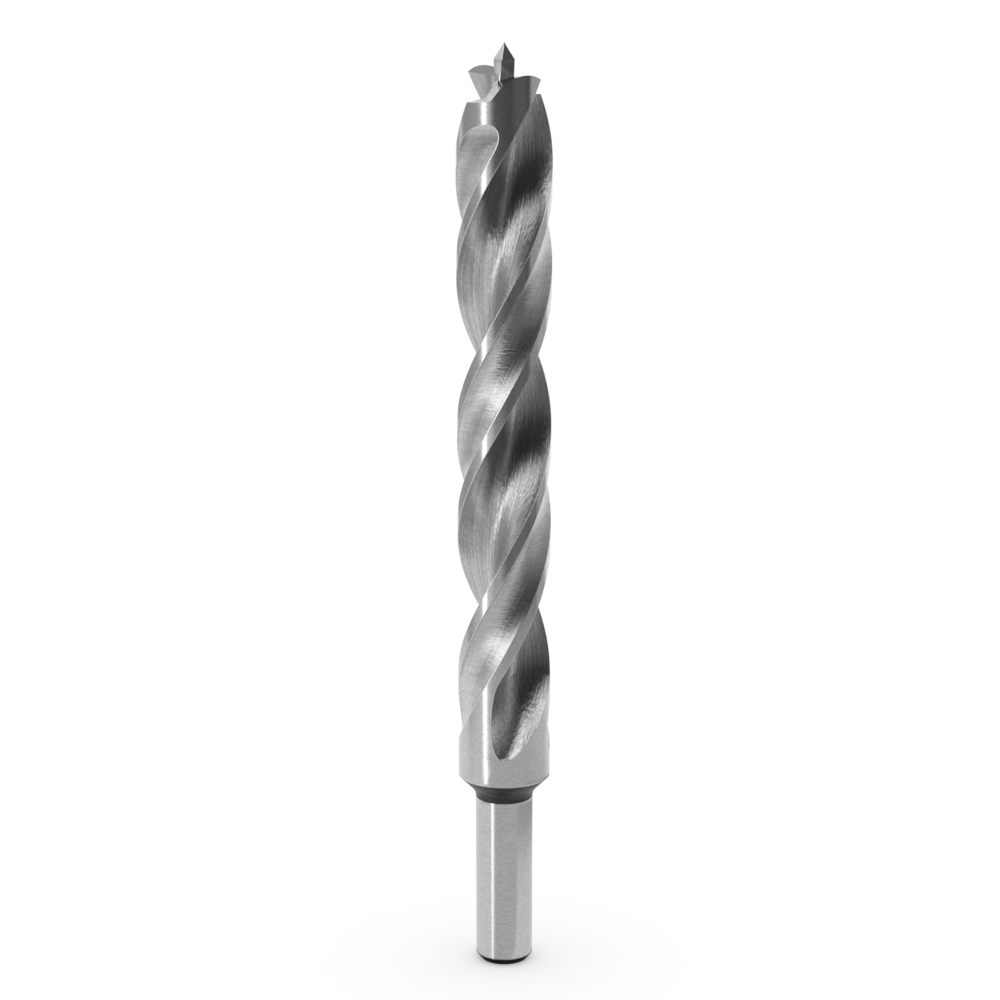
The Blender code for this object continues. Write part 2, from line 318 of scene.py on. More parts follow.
def flute_end():
    """Height and section angle of the last touch of the flute on the cylinder."""
    low, high = FLUTE_END, FLUTE_FULL
    for _ in range(HALVINGS):
        middle = (low + high) / 2
        if flute_at(middle) is None:
            low = middle
        else:
            high = middle
    return high, float(flute_at(high)[:, 1].mean())


FLUTE_END_HEIGHT, FLUTE_END_PHASE = flute_end()


def column_materials():
    """Material index of each column of half a ring, leading edge first; the rounded corners of the
    lands carry the painted edge highlight.
    """
    kinds = [GROUND] + [EDGE_HIGHLIGHT] * 2 + [FLUTE] * (FLUTE_COLUMNS + 1) + [EDGE_HIGHLIGHT] * 2
    kinds += [GROUND] * (MARGIN_COLUMNS + 3) + [EDGE_HIGHLIGHT] * 2 + [GROOVE] * (GROOVE_COLUMNS + 1)
    return kinds + [EDGE_HIGHLIGHT] * 2 + [GROUND] * (MARGIN_COLUMNS + 2)


def body_heights():
    """Ring heights from the body's lower edge to the blank's top, closer where a cut runs out."""
    heights = [BODY_BOTTOM]
    for end, step in RING_SPANS:
        start = heights[-1]
        count = max(1, math.ceil((end - start) / step))
        heights += [start + (end - start) * i / count for i in range(1, count)] + [end]
    return heights


def full_ring(section, height):
    turn = twist_at(height)
    cos, sin = math.cos(turn), math.sin(turn)
    x = section[:, 0] * cos - section[:, 1] * sin
    y = section[:, 0] * sin + section[:, 1] * cos
    z = np.full(len(x), height)
    return np.vstack([np.column_stack([x, y, z]), np.column_stack([-x, -y, z])])


def turned_profile():
    """Radius, height and finish of the turned lower part, from the body's edge down to the end."""
    points = [(BODY_RADIUS - BODY_EDGE_BREAK[0], BODY_BOTTOM - BODY_EDGE_BREAK[1], GROUND)]
    for i in range(FILLET_STEPS):
        angle = NECK_CONE_ANGLE * (1 - i / FILLET_STEPS)
        radius = SHANK_RADIUS + NECK_FILLET_RADIUS * (1 - math.cos(angle))
        points.append((radius, SHANK_LENGTH + NECK_FILLET_RADIUS * math.sin(angle), SKIN))
    points.append((SHANK_RADIUS - SHANK_TOP_BREAK[0], SHANK_LENGTH + SHANK_TOP_BREAK[1], SKIN))
    points += [(SHANK_RADIUS, SHANK_LENGTH - below, GROUND) for below in SHANK_SHOULDER_HOLD]
    top = SHANK_LENGTH - SHANK_SHOULDER_HOLD[1]
    span = top - SHANK_SHOULDER_HOLD[1] - END_BEVEL_HEIGHT
    points += [(SHANK_RADIUS, top - span * i / SHANK_STEPS, GROUND) for i in range(1, SHANK_STEPS)]
    points += [(SHANK_RADIUS, END_BEVEL_HEIGHT + above, GROUND) for above in reversed(BEVEL_TOP_HOLD)]
    points.append((SHANK_RADIUS - BEVEL_TOP_BREAK[0], END_BEVEL_HEIGHT - BEVEL_TOP_BREAK[1], SKIN))
    for i in range(1, BEVEL_STEPS):
        share = i / BEVEL_STEPS
        points.append((SHANK_RADIUS - END_BEVEL_WIDTH * share, END_BEVEL_HEIGHT * (1 - share), SKIN))
    end_radius = SHANK_RADIUS - END_BEVEL_WIDTH
    points.append((end_radius + BEVEL_FOOT_BREAK[0], BEVEL_FOOT_BREAK[1], SKIN))
    points.append((end_radius - END_FACE_BREAK, 0.0, SKIN))
    points += [(SHANK_RADIUS * share, 0.0, SKIN) for share in END_FACE_RINGS]
    return points


def material_named(name):
    """A material with its shader and its node tree."""
    material = bpy.data.materials.new(name)
    material.use_nodes = True
    return material, material.node_tree.nodes["Principled BSDF"], material.node_tree


def node(tree, kind, inputs=(), **settings):
    """A new node with its settings and its inputs, which are values or other sockets."""
    made = tree.nodes.new(kind)
    for key, value in settings.items():
        setattr(made, key, value)
    for i, value in enumerate(inputs):
        if isinstance(value, bpy.types.NodeSocket):
            tree.links.new(value, made.inputs[i])
        elif value is not None:
            made.inputs[i].default_value = value
    return made


def math_of(tree, operation, *values):
    return node(tree, "ShaderNodeMath", values, operation=operation).outputs[0]


def eased_step(tree, value, low, high, start=0.0, end=1.0):
    made = node(tree, "ShaderNodeMapRange", (value, low, high, start, end),
                interpolation_type="SMOOTHSTEP")
    return made.outputs[0]


def steel(name, colour, roughness, stretch, grind, tones, marks=(), metallic=1.0, shading=None):
    """Ground steel whose reflections are drawn out across its grinding lines.

    A tone or a mark is the noise's scales across and along the lines, its detail, and how far it
    varies the colour or how deep it is.
    """
    material, shader, tree = material_named(name)
    shade = colour
    for scale, detail, spread in tones:
        noise = marks_noise(tree, grind, scale, detail)
        tone = eased_step(tree, noise, *NOISE_RANGE, 1 - spread, 1 + spread)
        shade = math_of(tree, "MULTIPLY", shade, tone)
    if shading is not None:
        shade = math_of(tree, "MULTIPLY", shade, shading(tree))
    tree.links.new(shade, shader.inputs["Base Color"])
    shader.inputs["Metallic"].default_value = metallic
    shader.inputs["Roughness"].default_value = roughness
    shader.inputs["Anisotropic"].default_value = stretch
    tree.links.new(across_lines(tree, grind), shader.inputs["Tangent"])
    normal = None
    for scale, detail, depth in marks:
        noise = marks_noise(tree, grind, scale, detail)
        normal = node(tree, "ShaderNodeBump", (1.0, depth, None, noise, normal)).outputs[0]
    if normal is not None:
        tree.links.new(normal, shader.inputs["Normal"])
    return material


def runin_shade(tree):
    """A darker band across the groove's upper end."""
    place = node(tree, "ShaderNodeTexCoord").outputs["Object"]
    height = node(tree, "ShaderNodeSeparateXYZ", (place,)).outputs[2]
    low, middle, high = (GROOVE_TOP - below for below in RUNIN_BAND_BELOW_TOP)
    below = eased_step(tree, height, low, middle, 1.0, RUNIN_SHADE)
    above = eased_step(tree, height, middle, high, RUNIN_SHADE, 1.0)
    return math_of(tree, "MAXIMUM", below, above)


def across_lines(tree, grind):
    """Direction in the surface square to grinding lines along the helix, a ring or the axis."""
    place = node(tree, "ShaderNodeTexCoord").outputs["Object"]
    normal = node(tree, "ShaderNodeNewGeometry").outputs["Normal"]
    split = node(tree, "ShaderNodeSeparateXYZ", (place,)).outputs
    turn, rise = GRIND_LINES[grind]
    along = node(tree, "ShaderNodeCombineXYZ", (
        math_of(tree, "MULTIPLY", split[1], -turn), math_of(tree, "MULTIPLY", split[0], turn),
        rise)).outputs[0]
    return node(tree, "ShaderNodeVectorMath", (normal, along), operation="CROSS_PRODUCT").outputs[0]


def marks_noise(tree, grind, scale, detail):
    """Noise drawn out along the grinding lines, from a scale across and a scale along them."""
    place = node(tree, "ShaderNodeTexCoord").outputs["Object"]
    x, y, z = node(tree, "ShaderNodeSeparateXYZ", (place,)).outputs
    if grind == "helix":
        turn = math_of(tree, "MULTIPLY", z, math.tau / LEAD)
        cos = math_of(tree, "COSINE", turn)
        sin = math_of(tree, "SINE", turn)
        untwisted_x = math_of(tree, "ADD", math_of(tree, "MULTIPLY", x, cos),
                              math_of(tree, "MULTIPLY", y, sin))
        untwisted_y = math_of(tree, "SUBTRACT", math_of(tree, "MULTIPLY", y, cos),
                              math_of(tree, "MULTIPLY", x, sin))
        x, y = untwisted_x, untwisted_y
    sizes = (scale[0], scale[0], scale[1])
    if grind == "ring":
        sizes = (scale[1], scale[1], scale[0])
    vector = node(tree, "ShaderNodeCombineXYZ", [
        math_of(tree, "MULTIPLY", part, size) for part, size in zip((x, y, z), sizes)]).outputs[0]
    return node(tree, "ShaderNodeTexNoise", (vector, None, 1.0, detail)).outputs[0]


def make_steels():
    """The finishes in the order of their indices on the drill."""
    return [
        steel("ground_steel", colour=0.6, roughness=0.18, stretch=0.3, grind="ring",
              tones=(((3600.0, 1500.0), 3.0, 0.08), ((500.0, 200.0), 2.0, 0.015)),
              marks=(((3000.0, 300.0), 2.0, 0.000001),)),
        steel("flute_steel", colour=0.56, roughness=0.22, stretch=0.8, grind="helix",
              tones=(((2600.0, 40.0), 3.0, 0.16), ((3800.0, 1500.0), 2.0, 0.12)),
              marks=(((3000.0, 60.0), 3.0, 0.00003), ((2800.0, 1200.0), 3.0, 0.00004))),
        steel("groove_steel", colour=0.66, roughness=0.3, stretch=0.7, grind="helix",
              tones=(((500.0, 3000.0), 3.0, 0.1), ((2500.0, 60.0), 2.0, 0.08)),
              marks=(((2500.0, 60.0), 3.0, 0.00003), ((900.0, 3000.0), 3.0, 0.00004)),
              shading=runin_shade),
        steel("dark_skin", colour=0.06, roughness=0.35, stretch=0.5, grind="ring",
              tones=(((1500.0, 300.0), 2.0, 0.25),)),
        steel("point_steel", colour=0.74, roughness=0.36, stretch=0.3, grind="axis",
              tones=(((400.0, 2500.0), 3.0, 0.06),), metallic=0.4),
        steel("brad_steel", colour=0.6, roughness=0.15, stretch=0.2, grind="axis",
              tones=(((2500.0, 400.0), 3.0, 0.07),)),
        steel("brad_flank_steel", colour=0.32, roughness=0.25, stretch=0.2, grind="axis",
              tones=(((3000.0, 1500.0), 3.0, 0.18),)),
        # Painted highlight: a near-white colour on the rounded land edges adds thin bright lines on
        # top of the real shine of their rounding
        steel("painted_edge_highlight_steel", colour=0.92, roughness=0.35, stretch=0.3, grind="helix",
              tones=(((2500.0, 400.0), 3.0, 0.05),)),
    ]


def add_ring(shape, ring):
    return [shape.verts.new(point) for point in ring]


def bridge(shape, lower, upper, kinds):
    count = len(lower)
    for i in range(count):
        j = (i + 1) % count
        corners = (lower[i], lower[j], upper[j], upper[i])
        face = shape.faces.new(corners)
        turned = all(math.hypot(v.co.x, v.co.y) > BODY_RADIUS - CYLINDER_TOLERANCE for v in corners)
        face.material_index = GROUND if turned else kinds[i % len(kinds)]
        face.smooth = True


def linked_object(name, mesh, materials):
    for material in materials:
        mesh.materials.append(material)
    thing = bpy.data.objects.new(name, mesh)
    bpy.context.scene.collection.objects.link(thing)
    return thing


def steel_object(shape, name):
    mesh = bpy.data.meshes.new(name)
    shape.to_mesh(mesh)
    shape.free()
    return linked_object(name, mesh, STEELS)


def finish_mesh(shape, name):
    bmesh.ops.remove_doubles(shape, verts=shape.verts, dist=WELD_DISTANCE)
    bmesh.ops.dissolve_degenerate(shape, edges=shape.edges, dist=WELD_DISTANCE)
    bmesh.ops.recalc_face_normals(shape, faces=shape.faces)
    return steel_object(shape, name)


def lower_body():
    """Shank, neck and fluted body up to the split under the point, open at the top."""
    shape = bmesh.new()
    kinds = column_materials()
    heights = [h for h in body_heights() if h <= TIP_SPLIT]
    base = full_ring(section_at(heights[0]), heights[0])
    below = add_ring(shape, base)
    first = below
    for height in heights[1:]:
        ring = add_ring(shape, full_ring(section_at(height), height))
        bridge(shape, below, ring, kinds)
        below = ring
    unit = base[:, :2] / np.hypot(base[:, 0], base[:, 1])[:, None]
    above = first
    for radius, height, kind in turned_profile():
        ring = add_ring(shape, np.column_stack([unit * radius, np.full(len(unit), height)]))
        bridge(shape, ring, above, [kind])
        above = ring
    cap = shape.faces.new(above)
    cap.material_index = SKIN
    return finish_mesh(shape, "drill_lower")


def tip_blank():
    """The fluted blank above the split, closed, ready for the point's grinding."""
    shape = bmesh.new()
    kinds = column_materials()
    heights = [h for h in body_heights() if h >= TIP_SPLIT]
    rings = [add_ring(shape, full_ring(section_at(h), h)) for h in heights]
    for lower, upper in zip(rings, rings[1:]):
        bridge(shape, lower, upper, kinds)
    shape.faces.new(rings[0])
    shape.faces.new(rings[-1])
    return finish_mesh(shape, "drill_tip")


def loft(name, rings, kinds):
    shape = bmesh.new()
    loops = [add_ring(shape, ring) for ring in rings]
    for lower, upper in zip(loops, loops[1:]):
        bridge(shape, lower, upper, kinds)
    shape.faces.new(loops[0]).material_index = kinds[0]
    shape.faces.new(loops[-1]).material_index = kinds[0]
    return finish_mesh(shape, name)


def grind_direction(side):
    at_spurs = twist_at(SPUR_HEIGHT) + side * math.pi
    return at_spurs - GRIND_BEHIND_LEADING_EDGE


def relief_cutter(side):
    outward = polar(1.0, grind_direction(side))
    backward = polar(1.0, grind_direction(side) - math.pi / 2)
    inner = -RELIEF_PAST_CENTRE
    wall_foot = SPUR_WALL_SPAN / 2
    reach = BODY_RADIUS + CUTTER_REACH
    floor_inside = LENGTH - RELIEF_DROP - inner * math.tan(RELIEF_FALL_ANGLE)
    floor_at_wall = LENGTH - RELIEF_DROP - wall_foot * math.tan(RELIEF_FALL_ANGLE)
    wall_top = floor_at_wall + (reach - wall_foot) * math.tan(SPUR_WALL_ANGLE)
    ceiling = CUTTER_TOP + reach * math.tan(RELIEF_ANGLE)
    profile = [(inner, floor_inside), (wall_foot, floor_at_wall), (reach, wall_top)]
    profile += [(reach, ceiling), (inner, ceiling)]
    rings = []
    for along in (-reach, reach):
        fall = along * math.tan(RELIEF_ANGLE)
        rings.append([outward * out + backward * along + Vector((0, 0, height - fall))
                      for out, height in profile])
    return loft("relief_%d" % side, rings, [POINT, BRAD, POINT, POINT, POINT])


def filleted_corner(corner, first, second, radius):
    half = first.angle(second) / 2
    centre = corner + (first + second).normalized() * (radius / math.sin(half))
    start = corner + first * (radius / math.tan(half)) - centre
    end = corner + second * (radius / math.tan(half)) - centre
    sweep = math.pi - 2 * half
    points = []
    for i in range(HEEL_ARC_STEPS + 1):
        share = i / HEEL_ARC_STEPS
        blend = (start * math.sin((1 - share) * sweep) + end * math.sin(share * sweep))
        points.append(centre + blend / math.sin(sweep))
    return points


def heel_cutter(side):
    across = grind_direction(side) - HEEL_BEHIND_GRIND
    outward = polar(1.0, across)
    along = polar(1.0, across + math.pi / 2)
    reach = BODY_RADIUS + CUTTER_REACH
    corner = Vector((HEEL_WALL_OFFSET, LENGTH - HEEL_DROP))
    up_wall = Vector((-math.cos(HEEL_WALL_ANGLE), math.sin(HEEL_WALL_ANGLE)))
    out_flat = Vector((math.cos(HEEL_FALL_ANGLE), -math.sin(HEEL_FALL_ANGLE)))
    profile = [corner + up_wall * (HEEL_WALL_OFFSET / math.cos(HEEL_WALL_ANGLE))]
    profile += filleted_corner(corner, up_wall, out_flat, HEEL_FILLET_RADIUS)
    profile += [corner + out_flat * reach, Vector((corner.x + reach, CUTTER_TOP))]
    profile += [Vector((profile[0].x, CUTTER_TOP))]
    rings = [[outward * point.x + along * depth + Vector((0, 0, point.y)) for point in profile]
             for depth in (-HEEL_PAST_CENTRE, reach)]
    return loft("heel_%d" % side, rings, [POINT])


def brad_point():
    """The square centre point with barely broken corners, twisted like the flutes."""
    corner_radius = BRAD_SIDE / math.sqrt(2)
    foot = LENGTH - HEEL_DROP
    shoulder = LENGTH - BRAD_POINT_HEIGHT
    rings = []
    for i in range(BRAD_STEPS + 1):
        height = foot + (shoulder - foot) * i / BRAD_STEPS
        rings.append(brad_ring(corner_radius, height, height))
    for share in BRAD_POINT_SHARES:
        height = shoulder + BRAD_POINT_HEIGHT * share
        rings.append(brad_ring(corner_radius * (1 - share), shoulder, height))
    rings.append([(0.0, 0.0, LENGTH)] * len(rings[0]))
    return loft("brad", rings, [BRAD] * 2 + [BRAD_FLANK] * 4 + [BRAD] * 6)


def brad_ring(corner_radius, twist_height, height):
    """Points of the square, three on each broken corner and three along each side."""
    first = twist_at(twist_height) - BRAD_CORNER_BEHIND_LEADING_EDGE
    corners = [polar(corner_radius, first + i * math.pi / 2) for i in range(4)]
    side = (corners[1] - corners[0]).length
    cut = min(BRAD_CORNER_BREAK / side, BRAD_CORNER_LARGEST_SHARE)
    ring = []
    for i in range(4):
        here, before, after = corners[i], corners[i - 1], corners[(i + 1) % 4]
        low, high = here.lerp(before, cut), here.lerp(after, cut)
        ring += [low, low.lerp(high, 0.5), high, high.lerp(after, 0.25),
                 here.lerp(after, 0.5), after.lerp(here, cut).lerp(here, 0.25)]
    return [(point.x, point.y, height) for point in ring]


def combine(body, other, operation):
    modifier = body.modifiers.new(other.name, "BOOLEAN")
    modifier.operation = operation
    modifier.object = other
    modifier.solver = "EXACT"
    modifier.material_mode = "INDEX"


def apply_modifiers(thing):
    evaluated = thing.evaluated_get(bpy.context.evaluated_depsgraph_get())
    mesh = bpy.data.meshes.new_from_object(evaluated)
    thing.modifiers.clear()
    thing.data = mesh


def ground_tip():
    tip = tip_blank()
    tools = []
    for side in (0, 1):
        tools += [relief_cutter(side), heel_cutter(side)]
    brad = brad_point()
    for tool in tools:
        combine(tip, tool, "DIFFERENCE")
    combine(tip, brad, "UNION")
    apply_modifiers(tip)
    for tool in tools + [brad]:
        bpy.data.objects.remove(tool)
    return tip


def sharpen(mesh):
    """Keeps the rounded land edges smooth and the ground facets of the point crisp."""
    shape = bmesh.new()
    shape.from_mesh(mesh)
    for edge in shape.edges:
        point = all(v.co.z > TIP_SPLIT for v in edge.verts)
        limit = POINT_SHARP_ANGLE if point else BODY_SHARP_ANGLE
        edge.smooth = len(edge.link_faces) != 2 or edge.calc_face_angle() < limit
    shape.to_mesh(mesh)
    shape.free()


def joined(lower, tip):
    """One closed mesh from the lower body and the ground tip, welded at the split."""
    shape = bmesh.new()
    shape.from_mesh(lower.data)
    shape.from_mesh(tip.data)
    caps = [f for f in shape.faces if len(f.verts) > CAP_CORNERS
            and all(abs(v.co.z - TIP_SPLIT) < CAP_HEIGHT_TOLERANCE for v in f.verts)]
    bmesh.ops.delete(shape, geom=caps, context="FACES_ONLY")
    seam = [v for v in shape.verts if abs(v.co.z - TIP_SPLIT) < SEAM_HEIGHT_TOLERANCE]
    bmesh.ops.remove_doubles(shape, verts=seam, dist=SEAM_WELD_DISTANCE)
    bmesh.ops.recalc_face_normals(shape, faces=shape.faces)
    drill = steel_object(shape, "drill")
    for thing in (lower, tip):
        bpy.data.objects.remove(thing)
    drill.data.shade_smooth()
    sharpen(drill.data)
    return drill


# Soft panels of the studio round the drill, as the steel sees them, each laid over those before
# it. Azimuths are degrees to the right of the camera's side, elevations are degrees above the
# horizon, and the tilt is how far the upper edge rises for each degree to the right.
Panel = namedtuple(
    "Panel", "azimuth half_width side_softness lowest highest edge_softness strength tilt",
    defaults=(0.0,))
ZENITH = 90.0
PANELS = {
    "dim wall at the right": Panel(63.0, 34.0, 12.0, -2.0, 46.0, 4.0, 0.14),
    "ceiling": Panel(0.0, 180.0, 1.0, 49.0, ZENITH, 5.0, 0.6),
    "high light at the left": Panel(-56.0, 38.0, 10.0, 43.0, 60.0, 4.0, 1.45),
    "grey wall behind at the left": Panel(-118.0, 36.0, 8.0, -24.0, 20.0, 5.0, 0.45, tilt=0.33),
    "wide light behind": Panel(162.5, 42.5, 6.0, -90.0, 60.0, 10.0, 1.08),
    "dark table at the right": Panel(92.0, 34.0, 6.0, -62.0, -21.0, 4.0, 0.15),
    "grey wall at the right": Panel(106.0, 17.0, 5.0, -18.0, 30.0, 5.0, 0.5),
    "low dim wall at the right": Panel(42.0, 24.0, 10.0, -22.0, -10.5, 2.0, 0.17),
    "low dim wall in front": Panel(14.0, 42.0, 12.0, -16.0, -10.5, 1.5, 0.2),
    "dark wall in front": Panel(10.0, 44.0, 10.0, -10.0, -2.0, 3.0, 0.055),
    "end of the dark wall": Panel(38.0, 16.0, 10.0, -10.0, -2.0, 3.0, 0.12),
    "lighter patch at the right": Panel(60.0, 16.0, 10.0, 2.0, 24.0, 5.0, 0.22),
    "low light at the right": Panel(83.0, 19.0, 4.0, -13.0, -2.0, 3.0, 0.52),
    "weaker light over it": Panel(83.0, 19.0, 4.0, -2.0, 25.0, 4.0, 0.34),
    "main light at the left": Panel(-66.0, 24.0, 5.0, 0.0, 33.0, 4.0, 1.2, tilt=0.33),
    "its brighter part": Panel(-75.0, 11.0, 5.0, 5.0, 28.0, 4.0, 1.8, tilt=0.33),
    "grey under the main light": Panel(-85.0, 28.0, 6.0, -14.0, -3.0, 3.0, 0.38),
    "glow round the strip light": Panel(-47.0, 11.0, 11.0, -22.0, 0.0, 2.0, 0.8),
    "strip light": Panel(-49.0, 5.0, 3.0, -22.0, 1.0, 1.5, 2.4),
    "narrow light behind, lower part": Panel(-126.0, 9.0, 4.0, -9.0, 8.0, 3.0, 0.85),
    "narrow light behind, upper part": Panel(-126.0, 9.0, 4.0, 8.0, 28.0, 3.0, 0.95),
}
SKY_ON_TABLE = 1.1

# The far table top as the steel sees it, in degrees: it dims to the right and straight below,
# has a bright rim in front, and ends at an edge that sinks to the right, under a dark room
TABLE_GLOW = 0.72
TABLE_DIMS_RIGHT = (15.0, 75.0)
TABLE_RIGHT_SHARE = 0.27
TABLE_DIMS_BELOW = (-68.0, -48.0)
TABLE_BELOW_SHARE = 0.4
TABLE_EDGE = (-22.0, -16.0)
TABLE_EDGE_FALL = 0.35
ROOM_GLOW = 0.018
RIM_GLOW = 1.25
RIM_AZIMUTH = -5.0
RIM_SIDES = (45.0, 75.0)
RIM_FOOT = (-25.5, -23.0)

# The table top near the foot as the steel sees it, in metres and degrees: it has its own glow in
# front, at the left and at the right, is open towards the strip light and darker at the shank
NEAR_TABLE = (0.1, 0.2)
NEAR_FRONT_GLOW = 0.58
NEAR_LEFT_GLOW = 0.85
NEAR_RIGHT_GLOW = (0.8, 0.38)
NEAR_RIGHT_FALL = (0.045, 0.09)
NEAR_FRONT_AZIMUTH = 8.0
NEAR_FRONT_SIDES = (44.0, 56.0)
STRIP_OPENING = (6.0, 16.0)
FOOT_SHADE = (0.0056, 0.0078)
FOOT_SHADE_SHARE = 0.1

# The table top as the camera sees it
FLOOR_HALF_WIDTH = 2.5
FLOOR_COLOUR = (0.7, 0.7, 0.7, 1.0)
FLOOR_GLOW = 0.26

# A low pale card round the drill, in metres and degrees: it runs from its first azimuth over the
# right and the back, is open at the left, and left of CARD_LEFT it is as bright as at the back
CARD_RADIUS = 0.1
CARD_HEIGHT = 0.05
CARD_FADES_FROM = 0.022
CARD_FIRST = -30.0
CARD_SWEEP = 292.0
CARD_STEPS = 96
CARD_FRONT_GLOW = 0.57
CARD_SIDE_GLOW = 0.68
CARD_BACK_GLOW = 0.88
CARD_FRONT_TO_SIDE = (40.0, 110.0)
CARD_SIDE_TO_BACK = (112.0, 140.0)
CARD_LEFT = -60.0

# The camera in front of the drill, looking down at its foot
FOCAL_LENGTH_IN_PIXELS = 3136.0
PICTURE_WIDTH_IN_PIXELS = 1000.0
SENSOR_WIDTH = 36.0
CAMERA_PLACE = (0.0, -0.5226, 0.2168)
CAMERA_PITCH = math.radians(21.51)
CAMERA_SHIFT = (-0.0042, 0.4)
CAMERA_CLIP_START = 0.01


def laid_over(tree, below, share, tone):
    """The tone below with another laid over it by a share."""
    step = math_of(tree, "SUBTRACT", tone, below)
    return math_of(tree, "MULTIPLY_ADD", step, share, below)


def azimuth_of(tree, x, y):
    """Degrees to the right of the camera's side."""
    return math_of(tree, "DEGREES", math_of(tree, "ARCTAN2", x, math_of(tree, "MULTIPLY", y, -1.0)))


def away_from(tree, azimuth, middle):
    return math_of(tree, "ABSOLUTE", math_of(tree, "SUBTRACT", azimuth, middle))


def soft_edge(tree, value, edge, softness, start=0.0, end=1.0):
    return eased_step(tree, value, edge - softness, edge + softness, start, end)


def panel_share(tree, panel, azimuth, elevation):
    """How much of a panel is seen in a direction, 1 on it and 0 beside it."""
    off = math_of(tree, "WRAP", math_of(tree, "SUBTRACT", azimuth, panel.azimuth), 180.0, -180.0)
    beside = math_of(tree, "ABSOLUTE", off)
    across = soft_edge(tree, beside, panel.half_width, panel.side_softness, 1.0, 0.0)
    foot = soft_edge(tree, elevation, panel.lowest, panel.edge_softness)
    share = math_of(tree, "MULTIPLY", across, foot)
    if panel.highest == ZENITH:
        return share
    tilted = math_of(tree, "MULTIPLY_ADD", off, -panel.tilt, elevation)
    head = soft_edge(tree, tilted, panel.highest, panel.edge_softness, 1.0, 0.0)
    return math_of(tree, "MULTIPLY", share, head)


def far_table(tree, azimuth, elevation):
    """The far table top with its bright rim, and the dark room over its edge."""
    ahead = node(tree, "ShaderNodeClamp", (azimuth, -90.0, 90.0)).outputs[0]
    over = math_of(tree, "MULTIPLY_ADD", ahead, TABLE_EDGE_FALL, elevation)
    glow = eased_step(tree, azimuth, *TABLE_DIMS_RIGHT, TABLE_GLOW, TABLE_GLOW * TABLE_RIGHT_SHARE)
    below = eased_step(tree, elevation, *TABLE_DIMS_BELOW, TABLE_BELOW_SHARE, 1.0)
    table = math_of(tree, "MULTIPLY", glow, below)
    front = eased_step(tree, away_from(tree, azimuth, RIM_AZIMUTH), *RIM_SIDES, 1.0, 0.0)
    rim = math_of(tree, "MULTIPLY", front, eased_step(tree, over, *RIM_FOOT))
    table = laid_over(tree, table, rim, RIM_GLOW)
    return laid_over(tree, table, eased_step(tree, over, *TABLE_EDGE), ROOM_GLOW)


def make_world():
    """White for the camera and the floor, a studio with soft panels for the steel."""
    world = bpy.data.worlds.new("studio")
    world.use_nodes = True
    tree = world.node_tree
    tree.nodes.clear()
    place = node(tree, "ShaderNodeTexCoord").outputs["Generated"]
    x, y, z = node(tree, "ShaderNodeSeparateXYZ", (place,)).outputs
    azimuth = azimuth_of(tree, x, y)
    elevation = math_of(tree, "DEGREES", math_of(tree, "ARCSINE", z))
    total = far_table(tree, azimuth, elevation)
    for panel in PANELS.values():
        total = laid_over(tree, total, panel_share(tree, panel, azimuth, elevation), panel.strength)
    path = node(tree, "ShaderNodeLightPath").outputs
    sky = eased_step(tree, path["Is Camera Ray"], 0.0, 1.0, SKY_ON_TABLE, 1.0)
    white = node(tree, "ShaderNodeBackground", (WHITE, sky)).outputs[0]
    studio = node(tree, "ShaderNodeBackground", (WHITE, total)).outputs[0]
    mixed = node(tree, "ShaderNodeMixShader", (path["Is Glossy Ray"], white, studio))
    node(tree, "ShaderNodeOutputWorld", (mixed.outputs[0],))
    bpy.context.scene.world = world


def plain_object(name, points, faces, material):
    mesh = bpy.data.meshes.new(name)
    mesh.from_pydata(points, [], faces)
    return linked_object(name, mesh, [material])


def near_table_glow(tree, place):
    """The glow of the table near the foot, clear far from it and open towards the strip light."""
    away = node(tree, "ShaderNodeVectorMath", (place,), operation="LENGTH").outputs["Value"]
    strip = PANELS["strip light"].azimuth
    mirror = math.radians(strip / 2)
    x, y, _ = node(tree, "ShaderNodeSeparateXYZ", (place,)).outputs
    x = math_of(tree, "SUBTRACT", x, SHANK_RADIUS * math.sin(mirror))
    y = math_of(tree, "ADD", y, SHANK_RADIUS * math.cos(mirror))
    azimuth = azimuth_of(tree, x, y)
    opening = eased_step(tree, away_from(tree, azimuth, strip), *STRIP_OPENING, 1.0, 0.0)
    far = math_of(tree, "MAXIMUM", eased_step(tree, away, *NEAR_TABLE), opening)
    right = eased_step(tree, away, *NEAR_RIGHT_FALL, *NEAR_RIGHT_GLOW)
    side = laid_over(tree, NEAR_LEFT_GLOW, math_of(tree, "GREATER_THAN", azimuth, 0.0), right)
    beside = eased_step(tree, away_from(tree, azimuth, NEAR_FRONT_AZIMUTH), *NEAR_FRONT_SIDES)
    tone = laid_over(tree, NEAR_FRONT_GLOW, beside, side)
    shade = eased_step(tree, away, *FOOT_SHADE, FOOT_SHADE_SHARE, 1.0)
    glow = node(tree, "ShaderNodeEmission", (WHITE, math_of(tree, "MULTIPLY", tone, shade)))
    clear = node(tree, "ShaderNodeBsdfTransparent")
    return node(tree, "ShaderNodeMixShader", (far, glow.outputs[0], clear.outputs[0])).outputs[0]


def make_floor():
    """A white table top; the steel sees only the part of it near the drill's foot."""
    material, shader, tree = material_named("floor")
    shader.inputs["Base Color"].default_value = FLOOR_COLOUR
    shader.inputs["Roughness"].default_value = 1.0
    shader.inputs["Specular IOR Level"].default_value = 0.0
    shader.inputs["Emission Color"].default_value = WHITE
    shader.inputs["Emission Strength"].default_value = FLOOR_GLOW
    place = node(tree, "ShaderNodeTexCoord").outputs["Object"]
    seen = node(tree, "ShaderNodeLightPath").outputs["Is Glossy Ray"]
    both = node(tree, "ShaderNodeMixShader", (seen, shader.outputs[0], near_table_glow(tree, place)))
    tree.links.new(both.outputs[0], tree.nodes["Material Output"].inputs[0])
    far = FLOOR_HALF_WIDTH
    corners = [(-far, -far, 0.0), (far, -far, 0.0), (far, far, 0.0), (-far, far, 0.0)]
    floor = plain_object("floor", corners, [(0, 1, 2, 3)], material)


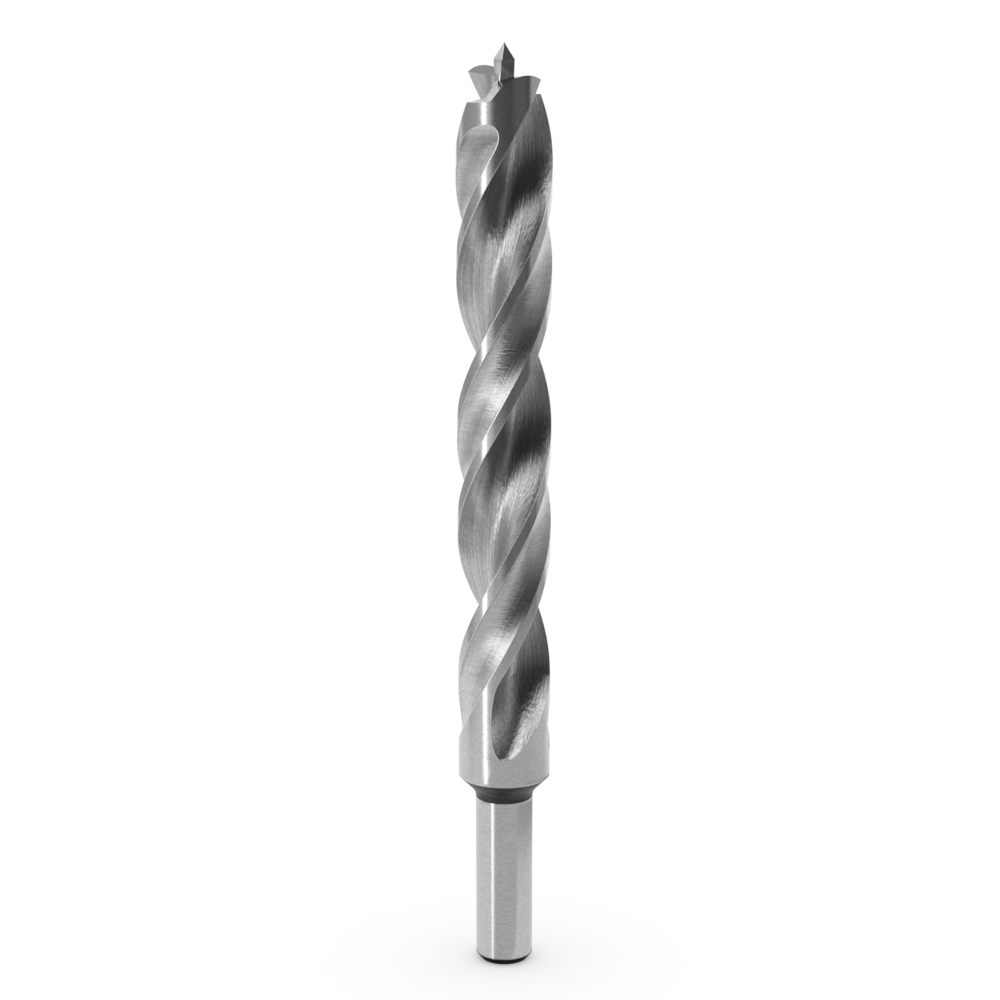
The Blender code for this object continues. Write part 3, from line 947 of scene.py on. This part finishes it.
def card_material():
    material, _, tree = material_named("card")
    place = node(tree, "ShaderNodeTexCoord").outputs["Object"]
    x, y, z = node(tree, "ShaderNodeSeparateXYZ", (place,)).outputs
    azimuth = azimuth_of(tree, x, y)
    beside = math_of(tree, "ABSOLUTE", azimuth)
    tone = eased_step(tree, beside, *CARD_FRONT_TO_SIDE, CARD_FRONT_GLOW, CARD_SIDE_GLOW)
    tone = laid_over(tree, tone, eased_step(tree, beside, *CARD_SIDE_TO_BACK), CARD_BACK_GLOW)
    left = math_of(tree, "LESS_THAN", azimuth, CARD_LEFT)
    tone = laid_over(tree, tone, left, CARD_BACK_GLOW)
    glow = node(tree, "ShaderNodeEmission", (WHITE, tone))
    clear = node(tree, "ShaderNodeBsdfTransparent")
    fade = eased_step(tree, z, CARD_FADES_FROM, CARD_HEIGHT)
    mixed = node(tree, "ShaderNodeMixShader", (fade, glow.outputs[0], clear.outputs[0]))
    tree.links.new(mixed.outputs[0], tree.nodes["Material Output"].inputs[0])
    return material


def make_card():
    """A low pale card round the drill that only the steel sees, open where the strip shines."""
    points = []
    for i in range(CARD_STEPS + 1):
        angle = math.radians(CARD_FIRST + CARD_SWEEP * i / CARD_STEPS)
        x, y = CARD_RADIUS * math.sin(angle), -CARD_RADIUS * math.cos(angle)
        points += [(x, y, 0.0), (x, y, CARD_HEIGHT)]
    faces = [(2 * i, 2 * i + 2, 2 * i + 3, 2 * i + 1) for i in range(CARD_STEPS)]
    card = plain_object("card", points, faces, card_material())
    card.visible_camera = False
    card.visible_diffuse = False
    card.visible_shadow = False
    card.visible_transmission = False


def make_camera():
    data = bpy.data.cameras.new("camera")
    data.sensor_width = SENSOR_WIDTH
    data.lens = FOCAL_LENGTH_IN_PIXELS * SENSOR_WIDTH / PICTURE_WIDTH_IN_PIXELS
    data.shift_x, data.shift_y = CAMERA_SHIFT
    data.clip_start = CAMERA_CLIP_START
    camera = bpy.data.objects.new("camera", data)
    camera.location = CAMERA_PLACE
    camera.rotation_euler = (math.pi / 2 - CAMERA_PITCH, 0.0, 0.0)
    bpy.context.scene.collection.objects.link(camera)
    bpy.context.scene.camera = camera


STEELS = make_steels()
drill = joined(lower_body(), ground_tip())
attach(drill, "root")
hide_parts("drill_bit")
make_world()
make_floor()
make_card()
make_camera()
bpy.context.scene.view_settings.view_transform = "Standard"
